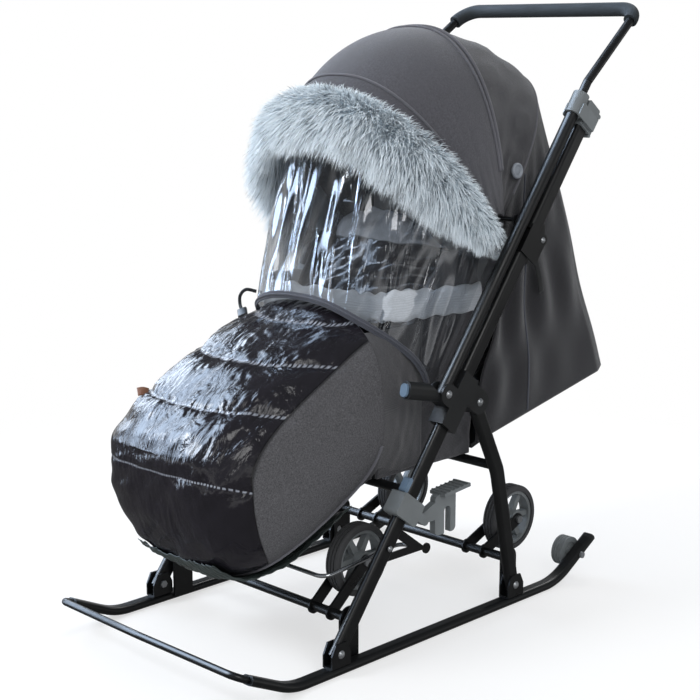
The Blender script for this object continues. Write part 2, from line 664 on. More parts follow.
class STROLLER_OT_finishes(bpy.types.Operator):
    """Put the finishes on the hard pieces"""

    bl_idname = "stroller.finishes"
    bl_label = "Hard finishes"

    def execute(self, context):
        made = materials(context.scene)
        soft = {
            "foot_muff", "hood_rear", "hood_front", "hood_trim", "window_film", "cabin_cloth", "seat_cloth",
            "back_pad",
        }
        slots = {row["node"]: row["material_slot"] for row in frame["record"]["subparts"]}
        for obj in bpy.data.objects:
            if "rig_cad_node" in obj and obj["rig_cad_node"] not in soft:
                obj.data.materials.clear()
                obj.data.materials.append(made[slots[obj["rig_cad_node"]]])
        return {"FINISHED"}


def arch(reach, half, count):
    """Even steps along half a superellipse, from the right pivot over the top to the left one.

    Gives the distance from the pivot line, the sideways place, and the length of the arch.
    """
    t = np.linspace(0, np.pi, 6001)
    r, x = reach * power(np.sin(t), HOOD_POWER), half * power(np.cos(t), HOOD_POWER)
    s = np.concatenate([[0.0], np.cumsum(np.hypot(np.diff(r), np.diff(x)))])
    k = np.linspace(0, s[-1], count)
    return np.interp(k, s, r), np.interp(k, s, x), float(s[-1])


def swung(r, x, angle):
    """Points at a distance r and a sideways place x, swung about the hood's pivot line by an angle."""
    return np.stack([x + 0 * angle, HOOD_Y + r * np.cos(angle), HOOD_Z + r * np.sin(angle)], -1)


def spread(r, reach, half):
    """Half width of a hood of a given reach at the distance r from its pivot line."""
    return half * np.clip(1 - (np.abs(r) / reach) ** HOOD_POWER, 0, 1) ** (1 / HOOD_POWER)


def front_line(t, off=0.0, lift=0.0, heel=FRONT_HEEL):
    """The hood's front border: t runs from 0 at the right heel over the top to pi at the left heel.

    The border lies in the front plane, moved out by off, on the hood grown by lift. Its run up the plane
    follows the sine of t, and its half width is the hood's at that distance from the pivot line.
    """
    gap, reach, half = FRONT_GAP + off, FRONT_REACH + lift, FRONT_HALF + lift
    crown = np.sqrt(reach**2 - gap**2)
    run = heel + (crown - heel) * power(np.sin(t), HOOD_POWER)
    x = spread(np.hypot(run, gap), reach, half) * np.sign(np.cos(t))
    y, z = [gap * FRONT_OUT[k] + run * FRONT_WAY[k] for k in (0, 1)]
    return np.stack([x, HOOD_Y + y, HOOD_Z + z], -1)


def hood_front_form():
    """Front hood: from the split hoop to the front border, distance and angle run straight between the two.

    The sideways place follows from the distance, so every point lies on the hood's own arch. Also gives the
    border's length.
    """
    t, length = even(front_line, HOOD_GRID[0])
    v = np.linspace(0, 1, HOOD_GRID[1])[None, :]
    border = front_line(t)
    edge_y, edge_z = border[:, 1] - HOOD_Y, border[:, 2] - HOOD_Z
    r0, r1 = FRONT_REACH * power(np.sin(t), HOOD_POWER), np.hypot(edge_y, edge_z)
    a0, a1 = math.radians(SPLIT_ANGLE), np.arctan2(edge_z, edge_y) % (2 * np.pi)
    r = r0[:, None] * (1 - v) + r1[:, None] * v
    angle = a0 * (1 - v) + a1[:, None] * v
    x = spread(r, FRONT_REACH, FRONT_HALF) * np.sign(np.cos(t))[:, None]
    return swung(r, x, angle), length


class STROLLER_OT_hood(bpy.types.Operator):
    """Make the two parts of the hood, their seams, piping and buttons"""

    bl_idname = "stroller.hood"
    bl_label = "Hood"

    def execute(self, context):
        size = context.scene.stroller_sizes
        u, v = np.linspace(-1, 1, HOOD_GRID[0])[:, None], np.linspace(0, 1, HOOD_GRID[1])[None, :]
        across = np.sin(np.pi * v)
        crease_deep, sag_deep, fold_deep, fold_most = 0.0014, 0.006, 0.0022, 0.001

        # Front part: taut between its hoops, with shallow creases towards the pivots.
        front, wide = hood_front_form()
        belly = size.hood_bulge * across**0.8 * (1 - u**6)
        crease = crease_deep * np.abs(waves(u * 1.2, v, 3)) * np.abs(u) ** 2 * across
        front = front + normals(front) * (belly + crease)[..., None]
        obj = piece(
            "hood_front_cloth", front, "woven_polyester", "hood_front", "hood_fabric", "hood_front",
            weld=True,
        )
        thicken(obj, HOOD_WALL)

        # Rear part: slacker, with soft folds that stay low, so that the front part passes over them.
        r, x, wide = arch(REAR_REACH, REAR_HALF, HOOD_GRID[0])
        rear = swung(r[:, None], x[:, None], np.radians(REAR_FROM + (REAR_TO - REAR_FROM) * v))
        sag = -sag_deep * across * (1 - u**4)
        fold = np.minimum(fold_deep * waves(u * 1.4, v * 0.8, 11) * across, fold_most)
        rear = rear + normals(rear) * (sag + fold)[..., None]
        obj = piece(
            "hood_rear_cloth", rear, "woven_polyester_dark", "frame", "hood_fabric", "hood_rear",
            weld=True,
        )
        thicken(obj, HOOD_WALL)

        # Double piping along the split hoop, the seam beside the fur, and the rear hoop's edge, kept low.
        for name, grid, body, row, stand, skip, width, height in (
            ("hood_piping", front, "hood_front", 1, 0.0012, 26, 0.0080, 0.0070),
            ("hood_piping_second", front, "hood_front", 7, 0.0012, 26, 0.0060, 0.0050),
            ("hood_seam", front, "hood_front", 92, 0.0012, 26, 0.0050, 0.0040),
            ("hood_rear_piping", rear, "frame", 1, -0.0006, 16, 0.0050, 0.0036),
        ):
            up = normals(grid)[:, row]
            path = grid[:, row] + up * stand
            sewn(name, path[skip:-skip], width, height, up[skip:-skip], "piping_tape", body)

        # A snap button on each side, above the pivot: a ringed disc, given by its radius and height.
        profile = [
            (0, 0.0032), (0.006, 0.0030), (0.0078, 0.0018), (0.0088, 0.0020), (0.0098, 0.0046),
            (0.0118, 0.0050), (0.0134, 0.0036), (0.0138, 0.0), (0.0120, -0.0020), (0, -0.0020),
        ]
        y, z, stand = 0.1890, 0.7700, 0.0012
        x = float(spread(math.hypot(y - HOOD_Y, z - HOOD_Z), FRONT_REACH, FRONT_HALF)) + stand
        for side, way in SIDES:
            disc = turned(profile, (way * x, y, z), (way, 0.0, 0.06))
            obj = piece(
                f"hood_button_{side}", disc, "moulded_button", "hood_front", "grey_plastic",
                wrap=(False, True), weld=True,
            )
            turn_out(obj)
        return {"FINISHED"}


def fur_along():
    """Even steps along the front border, and the share of the fur's full width at any place on it.

    The fur is drawn in over about 200 mm at the right heel, by a root of the way, and 50 mm at the left.
    """
    t, _ = even(front_line, FUR_STEPS)
    last, right, left, least = FUR_STEPS - 1, 55, 14, 0.3

    def ends(k):
        step = np.interp(k, t, np.arange(last + 1.0))
        grown = np.minimum((step / right) ** 0.65, (last - step) / left)
        return np.clip(least + (1 - least) * grown, least, 1.0)

    return t, ends


def fur_roll(k, a, ends):
    """Oval ahead of the front border: cosine across its plane, sine off the hood; looser at the left."""
    loose = FUR_LOOSE * np.clip((k - 1.9) / 0.8, 0, 1)
    off = ends(k) * (FUR_AHEAD + FUR_HALF * np.cos(a))
    return front_line(k, off, FUR_LIFT + loose + FUR_RISE * np.sin(a))


def clear_of_parts(spine):
    """Move hairs off what they would pierce.

    Those that lie back over the hood are scaled away from its pivot until they stand 3 mm off its form, so
    that the rear part passes under them. Beside the main tubes they are pressed in, short of the tubes'
    inner faces.
    """
    away = spine - np.array([0.0, HOOD_Y, HOOD_Z])
    clear, ease, most = 1.010, 0.010, 0.15
    behind = np.clip((FRONT_GAP - away[..., 1:] @ FRONT_OUT) / ease, 0, 1)
    reach = (np.hypot(away[..., 1], away[..., 2]) / FRONT_REACH) ** HOOD_POWER
    level = ((np.abs(away[..., 0]) / FRONT_HALF) ** HOOD_POWER + reach) ** (1 / HOOD_POWER)
    spine = spine + away * (behind * np.clip(clear / level - 1, 0, most))[..., None]
    # The room widens over 30 mm from the tubes' borders to 52 mm more.
    y, z = spine[..., 1] - TUBE_Y, spine[..., 2] - TUBE_Z
    aside = np.abs(y * math.sin(TUBE_LEAN) - z * math.cos(TUBE_LEAN))
    room = TUBE_ROOM + 0.052 * np.clip((aside - TUBE_HALF) / 0.03, 0, 1)
    spine[..., 0] = np.clip(spine[..., 0], -room, room)
    return spine


class STROLLER_OT_fur(bpy.types.Operator):
    """Make the fur trim along the front of the hood"""

    bl_idname = "stroller.fur"
    bl_label = "Fur trim"

    def execute(self, context):
        size = context.scene.stroller_sizes
        t, ends = fur_along()
        a = np.linspace(0, 2 * np.pi, 28, endpoint=False)
        ring = fur_roll(t[:, None], a[None, :], ends)
        caps = [k.mean(1, keepdims=True).repeat(len(a), 1) for k in (ring[:1], ring[-1:])]
        hide = np.concatenate([caps[0], ring, caps[1]])
        fields = {"along": np.full(hide.shape[:2], 0.30), "tone": np.full(hide.shape[:2], 0.4)}
        base = piece(
            "fur_hide", hide, "acrylic_fur", "hood_front", "fur", "hood_trim",
            wrap=(False, True), fields=fields, weld=True, flip=True,
        )

        # Hairs: bent ribbons that leave the roll outwards and towards both borders, in seeded clumps.
        rng = np.random.default_rng(7)
        n, last = size.fur_hairs, len(t) - 1
        s = rng.uniform(0, last - 0.001, n)
        tt = np.interp(s, np.arange(len(t)), t)
        # Near the heels no hair grows inwards, so that the rear hood passes.
        least = np.interp(np.minimum(s, last - s), (25, 60), (0.3, -1.3))
        a = np.maximum(rng.uniform(-1.3, np.pi + 0.4, n), least)
        out = unit(front_line(tt, 0.0, 0.02) - front_line(tt), 1e-9)
        ahead = np.array([0.0, *FRONT_OUT])
        clump = waves(s / 26.0, a * 0.5, 5, 9, 0.6, 2.5)
        lie = (0.45 + 0.75 * np.cos(a))[:, None] * ahead + out * (0.42 + 0.48 * np.sin(a))[:, None]
        lie = unit(lie + rng.normal(0, 0.20, (n, 3)) + 0.30 * clump[:, None] * ahead)
        long = size.fur_length * rng.uniform(0.65, 1.15, n) * (1 + 0.12 * clump)
        long *= ends(tt) * (1 + 0.3 * np.clip((tt - 2.2) / 0.6, 0, 1))
        # Each hair has four points: straight along its lie, less a droop that grows with the square of the
        # way. It narrows from root to tip.
        step, droop, sunk = np.linspace(0, 1, 4), np.array([0.0, 0.0, -0.42]), 0.002
        bend = lie[:, None] * step[:, None] + droop * step[:, None] ** 2
        root = fur_roll(tt, a, ends) - out * sunk
        spine = clear_of_parts(root[:, None] + bend * long[:, None, None])
        across = unit(np.cross(lie, rng.normal(0, 1, (n, 3))))[:, None]
        thick = 0.0008
        half = thick * np.array([1.0, 0.9, 0.6, 0.08])[:, None]
        strand = np.stack([spine - across * half, spine + across * half], 2)
        first = (np.arange(n) * 8)[:, None, None]
        cell = np.arange(3)[None, :, None] * 2 + np.array([0, 1, 3, 2])[None, None, :]
        mesh = bpy.data.meshes.new("fur_hairs")
        mesh.from_pydata(strand.reshape(-1, 3).tolist(), [], (first + cell).reshape(-1, 4).tolist())
        streak = 0.42 + 0.20 * waves(s / 9.0, a * 0.25, 21, 9, 0.6, 2.0) + rng.normal(0, 0.18, n)
        along = np.broadcast_to(step[None, :, None], (n, 4, 2))
        tone = np.broadcast_to(np.clip(streak, 0, 1)[:, None, None], (n, 4, 2))
        dress(mesh, {"along": along, "tone": tone})
        belong(show("fur_hairs", mesh, finish("acrylic_fur")), "hood_front")
        return {"FINISHED"}


def film_low(t):
    """Lower border of the window: a superellipse that bows forward over the muff and back at both sides."""
    x, y = FILM_HALF * power(np.cos(t), FILM_POWER), FILM_FRONT + FILM_RUN * np.abs(np.cos(t)) ** 4
    return np.stack([x, y, FILM_FOOT + FILM_RISE * power(np.sin(t), FILM_POWER)], -1)


def film_top(t):
    """Upper border of the window: the front border of a smaller hood, just behind the front plane."""
    return front_line(t, -FILM_BACK, -FILM_INSET, FILM_HEEL)


class STROLLER_OT_window(bpy.types.Operator):
    """Make the clear window, its bound lower border and its elastic loop"""

    bl_idname = "stroller.window"
    bl_label = "Window"

    def execute(self, context):
        size = context.scene.stroller_sizes
        t, _ = even(lambda k: (film_low(k) + film_top(k)) / 2, FILM_GRID[0])
        u, v = np.linspace(-1, 1, FILM_GRID[0])[:, None], np.linspace(0, 1, FILM_GRID[1])[None, :]
        low = film_low(t)
        sheet = ruled(film_top(t)[:, None], low[:, None], v)
        out = normals(sheet)
        # Creases run down the sheet and close up towards the lower border, on a shallow belly.
        belly = 0.004
        folds = np.sin(13 * np.pi * u + 2.2 * np.sin(3 * v + 4 * u)) * (0.35 + 0.65 * v)
        folds = folds + 0.9 * waves(u * 3.0, v * 0.6, 17)
        lift = size.film_crease * folds * np.sin(np.pi * v) ** 0.7 * (1 - np.abs(u) ** 10)
        lift = lift + belly * np.sin(np.pi * v)
        sheet = sheet + out * lift[..., None]
        obj = piece("window_sheet", sheet, "clear_vinyl", "hood_front", "clear_film", "window_film")

        # Flat tape along the lower border with a cord on it, and an elastic loop at the left.
        up, keep = out[:, -2], slice(8, -8)
        sewn("window_binding", low[keep], 0.013, 0.0030, up[keep], "binding_tape", "hood_front", square=3.0)
        cord = (low + up * 0.0018)[keep]
        sewn("window_cord", cord, 0.0042, 0.0042, up[keep], "binding_tape", "hood_front")
        loop = [
            (-0.146, -0.124, 0.556), (-0.160, -0.136, 0.559), (-0.168, -0.143, 0.548),
            (-0.165, -0.146, 0.532), (-0.154, -0.150, 0.522),
        ]
        loop, up = smooth_path(loop, 40), (0.6, -0.8, 0.2)
        sewn("window_elastic", loop, 0.006, 0.0016, up, "nylon_webbing", "hood_front", square=3.0)
        return {"FINISHED"}


def muff_surface(t, a, inset=0.0):
    """Foot muff: rings whose height runs between two Bezier lines and whose width narrows to the toe.

    t goes from the opening to the toe, a round the ring; each ring is a superellipse.
    """
    top, base = bezier(MUFF_TOP, t), bezier(MUFF_BASE, t)
    mid, tall = (top + base) / 2, (top - base) / 2
    wide = MUFF_HALF * np.sqrt(np.clip(1 - t**5, 0, 1))
    size = np.linalg.norm(tall, axis=-1)
    q = power(np.sin(a), MUFF_POWER) * np.clip(1 - inset / np.maximum(size, 1e-6), 0, 2)
    yz = mid + tall * q[..., None]
    return np.stack([power(np.cos(a), MUFF_POWER) * np.clip(wide - inset, 0, 1), yz[..., 0], yz[..., 1]], -1)


def muff_ring():
    """Angles round the muff, eased where a superellipse bunches its points."""
    b = np.linspace(0, 2 * np.pi, MUFF_GRID[1], endpoint=False)
    return b - 0.10 * np.sin(4 * b)


def satin_side(z):
    """Sideways place of the satin's border at a height: narrows evenly, and faster above 0.45 m."""
    return 0.163 - 0.062 * (z - 0.311) - 1.4 * np.maximum(z - 0.45, 0.0) ** 2


def satin_toe(z):
    """Place along the muff of the satin's border below a height of 0.32 m: a power curve to the base."""
    return -0.411 + 8.55 * np.maximum(0.32 - z, 0.0) ** 2.555


def pipe_angle(t):
    """Angle round the ring of the piping: drops from the opening, runs level, and turns under the toe."""
    return -np.radians(10.0 + 29.0 * (1 - np.exp(-t / 0.07)) + 51.0 * (t / PIPE_END) ** 7)


def satin_cut(t, form):
    """Distance past the satin's border, on the cloth side: at the sides, at the toe, or below the piping.

    The border at the sides takes over from the one at the toe between heights of 0.30 and 0.34 m.
    """
    x, y, z = form[..., 0], form[..., 1], form[..., 2]
    until = np.minimum(t, PIPE_END)
    pipe = muff_surface(until, pipe_angle(until))[..., 2]
    base = np.where(t < PIPE_END, pipe - z, -0.05)
    upper = np.clip((z - 0.30) / 0.04, 0, 1)
    side = upper * (np.abs(x) - satin_side(z)) + (1 - upper) * (y - satin_toe(np.maximum(z, 0.165)))
    return np.maximum(side, base)


def make_muff_shell(size):
    """Shell of the muff: its plain form, moved along its normals by puffs, puckers and slack.

    The puffs sink to each seam as an exponential of the height from it. The puckers are sines across the
    muff that die away from the seams. Both stay on the satin, and a fade keeps the opening and toe plain.
    """
    border_soft, seam_wide, pucker_long, thread_wide = 0.003, 0.007, 0.024, 0.05
    s = np.linspace(0, 1, MUFF_GRID[0])
    t, a = np.meshgrid(1 - (1 - s) ** 2, muff_ring(), indexing="ij")
    form = muff_surface(np.minimum(t, 0.9999), a)
    x, y, z = form[..., 0], form[..., 1], form[..., 2]
    out = -normals(np.concatenate([form[:, -1:], form, form[:, :1]], 1))[:, 1:-1]
    # The seams sink towards both sides of the muff.
    level = z + 0.035 * (np.abs(x) / MUFF_HALF) ** 7
    off = np.abs(level[..., None] - SEAM_LEVEL).min(-1)
    cut = satin_cut(t, form)
    satin = 1 / (1 + np.exp(cut / border_soft))
    # The lowest seam is shallow.
    deep = np.interp(level, (0.37, 0.41), (0.30, 1.0))
    puff = size.quilt_puff * (0.10 - 0.50 * deep * np.exp(-((off / seam_wide) ** 1.2))) * satin
    pucker = 0.0
    for height, pitch, bend, scale, seed in ((0.0011, 420, 4.0, 7, 5), (0.0007, 760, 5.0, 9, 6)):
        pucker = pucker + height * np.sin(x * pitch + bend * waves(x * scale, z * scale, seed))
    pucker = pucker * np.exp(-((off / pucker_long) ** 2)) * deep * satin
    slack = 0.0016 * waves(x * 5 + y * 2, z * 6, 9) * satin + 0.0010 * waves(y * 4, z * 4, 13) * (1 - satin)
    fade = np.clip(s / 0.03, 0, 1)[:, None] * np.clip((1 - s) / 0.08, 0, 1)[:, None] ** 0.5
    form = form + out * ((puff + pucker + slack) * fade)[..., None]
    shell = piece(
        "muff_shell", form, "quilted_muff", "frame", "quilt_satin", "foot_muff",
        wrap=(False, True), fields={"cut": cut, "seam": 1 - off / thread_wide}, weld=True, flip=True,
    )


def make_muff_inside():
    """Lining inside the shell, which meets it at the rim, the rim's cord, and the piping round the base."""
    b, s = muff_ring(), np.linspace(0, 1, 90)
    t, a = np.meshgrid(1 - (1 - s) ** 2, b[::2], indexing="ij")
    inset = 0.012
    inner = muff_surface(np.minimum(t, 0.985), a, inset * np.clip(s / 0.02, 0, 1)[:, None])
    inner[..., 1] += 0.014 * t**4
    piece("muff_lining", inner, "soft_fleece", "frame", "seat_fabric", wrap=(False, True))
    rim, thick = muff_surface(np.zeros(len(b)), b, 0.006), 0.011
    tube = carry(np.concatenate([rim, rim[:1]]), oval(thick, thick), (0.0, -1.0, 0.0), taper=False)[:-1]
    piece("muff_rim", tube, "piping_tape", "frame", "hood_fabric", wrap=(True, True))
    k = np.linspace(0.01, PIPE_END, 160)
    low, stand = pipe_angle(k), 0.0005
    right, left = muff_surface(k, low, -stand), muff_surface(k[::-1], np.pi - low[::-1], -stand)
    run = np.concatenate([right, left[1:]])
    sewn("muff_piping", run, 0.0065, 0.0065, (0.0, 0.35, -1.0), "piping_tape", "frame")


def make_gussets():
    """Gussets: cloth ruled from the sides of the opening back to the seat, bowed out a little."""
    u, v = np.meshgrid(np.radians(np.linspace(-44.0, 46.0, 80)), np.linspace(0, 1, 50), indexing="ij")
    start = muff_surface(np.zeros_like(u), u, 0.0005)
    share = (u - u.min()) / (u.max() - u.min())
    seat_x, seat_y, seat_z, tall = 0.1635, -0.028, 0.284, 0.246
    stop = np.stack([0 * u + seat_x, seat_y + 0 * u, seat_z + tall * share], -1)
    right = ruled(start, stop, v)
    bow, ripple = 0.005, 0.0012
    right[..., 0] += bow * np.sin(np.pi * v) + ripple * waves(u * 0.8, v, 15) * np.sin(np.pi * v)
    for side, way in SIDES:
        gusset = right * np.array([way, 1.0, 1.0])
        obj = piece(f"muff_gusset_{side}", gusset, "woven_gusset", "frame", "hood_fabric", flip=way > 0)
        thicken(obj, CLOTH_WALL)


def make_cuff():
    """Cuff of fleece: a band round the opening and back along both walls.

    A superellipse is carried along a path through points, and seeded waves move its edges and its sides.
    """
    half = [
        (0.161, 0.120, 0.553), (0.162, 0.030, 0.558), (0.162, -0.050, 0.561), (0.149, -0.098, 0.560),
        (0.110, -0.113, 0.559), (0.050, -0.115, 0.557),
    ]
    thick, tall, lower, wavy, uneven = 0.016, 0.050, 0.003, 0.0028, 0.0022
    other = [(-x, y, z - lower) for x, y, z in reversed(half)]
    ring = carry(smooth_path(half + other, 260), oval(thick, tall, 20, 2.6), (0.0, 0.0, 1.0))
    run = np.linspace(0, 1, len(ring))[:, None]
    edge = np.clip((ring[..., 2] - ring[..., 2].mean(1, keepdims=True)) / (tall / 2), -1, 1)
    ring[..., 2] += wavy * waves(run * 6 + 0 * edge, edge * 0.2, 41) * np.abs(edge)
    ring += uneven * waves(run * 8 + 0 * edge, edge * 0.5, 43)[..., None] * np.array([0.7, -0.7, 0.0])
    cuff = piece("muff_cuff", ring, "soft_fleece", "frame", "seat_fabric", wrap=(False, True), weld=True)


def make_flap():
    """Flap: a quilt that stands behind the cuff and leans back, its border turned over in fleece.

    It sinks along one upright seam, swells by seeded waves, and stands 6 mm prouder past its border.
    """
    u, v = np.meshgrid(np.linspace(-1, 1, 120), np.linspace(0, 1, 90), indexing="ij")
    half, foot_y, foot_z, lean, tall = 0.150, -0.078, 0.505, 0.115, 0.195
    x = half * u * (1 - 0.05 * v**2)
    y = foot_y + lean * v + 0.060 * np.abs(u) ** 3 - 0.012 * np.sin(np.pi * v)
    z = foot_z + tall * v - 0.085 * v * np.abs(u) ** 2.5
    flap = np.stack([x, y, z], -1)
    satin_half, satin_top, seam_x, seam_wide = 0.128, 0.652, 0.012, 0.010
    border = np.maximum(np.abs(x) - satin_half, (z - satin_top + 0.30 * np.abs(x) ** 1.5))
    seam = np.exp(-((x - seam_x) / seam_wide) ** 2)
    sunk, swell, proud, soft = 0.006, 0.005, 0.006, 0.002
    turned_over = 1 / (1 + np.exp(-border / soft))
    rise = -sunk * seam + swell * waves(u * 1.6, v * 1.2, 51) + proud * turned_over
    flap = flap + normals(flap) * rise[..., None]
    fields = {"cut": border, "seam": 0 * border}
    obj = piece("muff_flap", flap, "quilted_flap", "frame", "quilt_satin", fields=fields)
    thicken(obj, FLAP_WALL)


def make_base_sheet():
    """Base sheet: the muff's underside, moved out by a gap, seeded waves, and a cube of the way to its hem."""
    u, v = np.meshgrid(np.linspace(0.14, 0.76, 130), np.linspace(-1, 1, 120), indexing="ij")
    gap, hem, ripple, least = 0.005, 0.007, 0.002, 0.003
    stand = gap + hem * np.abs(v) ** 3 + ripple * waves(u * 4, v * 2, 61)
    under = muff_surface(u, -np.pi / 2 + v * (0.86 - 0.45 * u), -np.maximum(stand, least))
    obj = piece("base_sheet", under, "coated_sheet", "frame", "hood_fabric", flip=True)
    thicken(obj, BASE_WALL, 1.0)
    under.swapaxes(0, 1)


class STROLLER_OT_muff(bpy.types.Operator):
    """Make the quilted foot muff, its lining, gussets, cuff, flap, piping, base sheet, tag and buckle"""

    bl_idname = "stroller.muff"
    bl_label = "Foot muff"

    def execute(self, context):
        make_muff_shell(context.scene.stroller_sizes)
        make_muff_inside()
        make_gussets()
        make_cuff()
        make_flap()
        make_base_sheet()

        # A plain tag and a small buckle at the left.
        tag = smooth_path([(-0.108, -0.398, 0.424), (-0.113, -0.406, 0.427), (-0.118, -0.413, 0.426)], 12)
        up = (0.35, -0.45, 0.82)
        sewn("muff_tag", tag, 0.019, 0.0024, up, "plain_leather", "frame", "quilt_satin", square=4.0)
        buckle = smooth_path([(-0.160, -0.146, 0.524), (-0.152, -0.152, 0.520), (-0.144, -0.158, 0.516)], 10)
        up, made = (0.0, -0.5, 0.86), "moulded_black_polyamide"
        sewn("muff_buckle", buckle, 0.018, 0.008, up, made, "frame", "black_plastic", square=4.0)
        return {"FINISHED"}


def drape_head(t):
    """Upper border of the drape: the rear hoop, no nearer than 16 mm to its pivot."""
    r = np.maximum(REAR_REACH * power(np.sin(t), HOOD_POWER), 0.016)
    return swung(r, REAR_HALF * power(np.cos(t), HOOD_POWER), np.radians(DRAPE_ANGLE))


def drape_foot(t):
    """Lower border of the drape: along both sides of the seat and straight across the back.

    The cosine of t gives the sideways place and its sine the way back, both stretched and then cut off at 1.
    """
    half, square, seat_y, run, seat_z, rise = 0.180, 1.36, 0.09898, 0.38796, 0.298, 0.07915
    x, back = half * np.clip(square * np.cos(t), -1, 1), np.minimum(1.0, square * np.sin(t))
    return np.stack([x, seat_y + run * back, seat_z + rise * back], -1)


class STROLLER_OT_cabin(bpy.types.Operator):
    """Make the cloth that hangs from the rear hoop round the back, its lining and its strap"""

    bl_idname = "stroller.cabin"
    bl_label = "Back drape"

    def execute(self, context):
        size = context.scene.stroller_sizes
        t, _ = even(lambda k: (drape_head(k) + drape_foot(k)) / 2, DRAPE_GRID[0])
        u, v = np.linspace(0, 1, DRAPE_GRID[0])[:, None], np.linspace(0, 1, DRAPE_GRID[1])[None, :]
        sheet = ruled(drape_head(t)[:, None], drape_foot(t)[:, None], v)
        out = -normals(sheet)
        side = np.minimum(u, 1 - u) * 2
        # Folds are sines that fan out from the rear pivot down the sides; the back hangs nearly plain.
        fold = np.sin(2 * np.pi * (side * 6.0 + 0.25 * np.sin(5 * v)))
        depth = size.drape_fold * fold * np.sin(np.pi * v) ** 0.8 * np.exp(-((side / 0.5) ** 2))
        ripple = 0.004
        depth = depth + ripple * waves(u * 2.5, v * 1.2, 31) * np.sin(np.pi * v)
        drape = sheet + out * depth[..., None]
        obj = piece("back_drape", drape, "woven_drape", "frame", "hood_fabric", "cabin_cloth", flip=True)
        thicken(obj, CLOTH_WALL)

        # Lining: a plain pale sheet inside the drape's wall.
        inset = 0.012
        inside = (sheet - out * (inset - np.minimum(depth, 0.0))[..., None])[20:-20:2, 2:112:2]
        obj = piece("back_lining", inside, "plain_lining", "frame", "seat_fabric")

        # Piping down each side, along the drape's side seam, and one webbing strap below the hood at the
        # right.
        for name, column in (("drape_seam_right", 34), ("drape_seam_left", 245)):
            path, up = (drape[column] + out[column] * 0.001)[3:-2], out[column][3:-2]
            sewn(name, path, 0.004, 0.0035, up, "binding_tape", "frame")
        strap = [
            (0.1865, 0.222, 0.640), (0.1925, 0.236, 0.612), (0.1925, 0.250, 0.580), (0.189, 0.262, 0.548),
        ]
        strap, up = smooth_path(strap, 30), (1.0, 0.0, 0.05)
        sewn("drape_strap", strap, 0.014, 0.0020, up, "nylon_webbing", "frame", square=3.5)
        return {"FINISHED"}


def pad_form(half, length, low, high, crown, count=(80, 80)):
    """A closed pad: a superellipse section carried along its length, with drawn-in ends and a crown."""
    v = np.linspace(-1, 1, count[0])[:, None]
    a = np.linspace(0, 2 * np.pi, count[1], endpoint=False)[None, :]
    ends = np.clip(1 - np.abs(v) ** 10, 0, 1) ** 0.5
    x = half * power(np.cos(a), 6) * (0.2 + 0.8 * ends)
    mid, tall = (low + high) / 2, (high - low) / 2
    q = power(np.sin(a), 5)
    rise = np.where(q > 0, crown * np.clip(1 - (x / half) ** 4, 0, 1) * ends, 0)
    return x, length * v + 0 * a, mid + tall * q * ends + rise


def settle(obj):
    """Apply a piece's modifiers to its mesh."""
    graph = bpy.context.evaluated_depsgraph_get()
    made = bpy.data.meshes.new_from_object(obj.evaluated_get(graph), depsgraph=graph)
    obj.modifiers.clear()
    obj.data = made


def places(obj):
    """A mesh's points, three numbers each."""
    co = np.empty(len(obj.data.vertices) * 3, np.float32)
    obj.data.vertices.foreach_get("co", co)
    return co.reshape(-1, 3)


def puffed(obj, most=0.005, grain=0.005, steps=20):
    """Swell a pad by cloth simulation: remeshed at a grain, run under pressure, no point moved past most."""
    scene = bpy.context.scene
    voxels = obj.modifiers.new("grain", "REMESH")
    voxels.mode, voxels.voxel_size, voxels.use_smooth_shade = "VOXEL", grain, True
    settle(obj)
    start = places(obj)
    cloth = obj.modifiers.new("cloth", "CLOTH")
    cloth.settings.quality, cloth.settings.mass = 4, 0.2
    cloth.settings.use_pressure, cloth.settings.uniform_pressure_force = True, 4.0
    cloth.settings.tension_stiffness, cloth.settings.bending_stiffness = 12.0, 0.3
    cloth.settings.effector_weights.gravity = 0.0
    cloth.point_cache.frame_start, cloth.point_cache.frame_end = 1, steps
    first = scene.frame_current
    for number in range(1, steps + 1):
        scene.frame_set(number)
    settle(obj)
    scene.frame_set(first)
    move = places(obj) - start
    far = np.linalg.norm(move, axis=-1, keepdims=True)
    move *= np.minimum(1.0, most / np.maximum(far, 1e-9))
    obj.data.vertices.foreach_set("co", (start + move).reshape(-1))
    obj.data.update()
    fine = obj.modifiers.new("fine", "SUBSURF")
    fine.levels = fine.render_levels = 1
    return obj


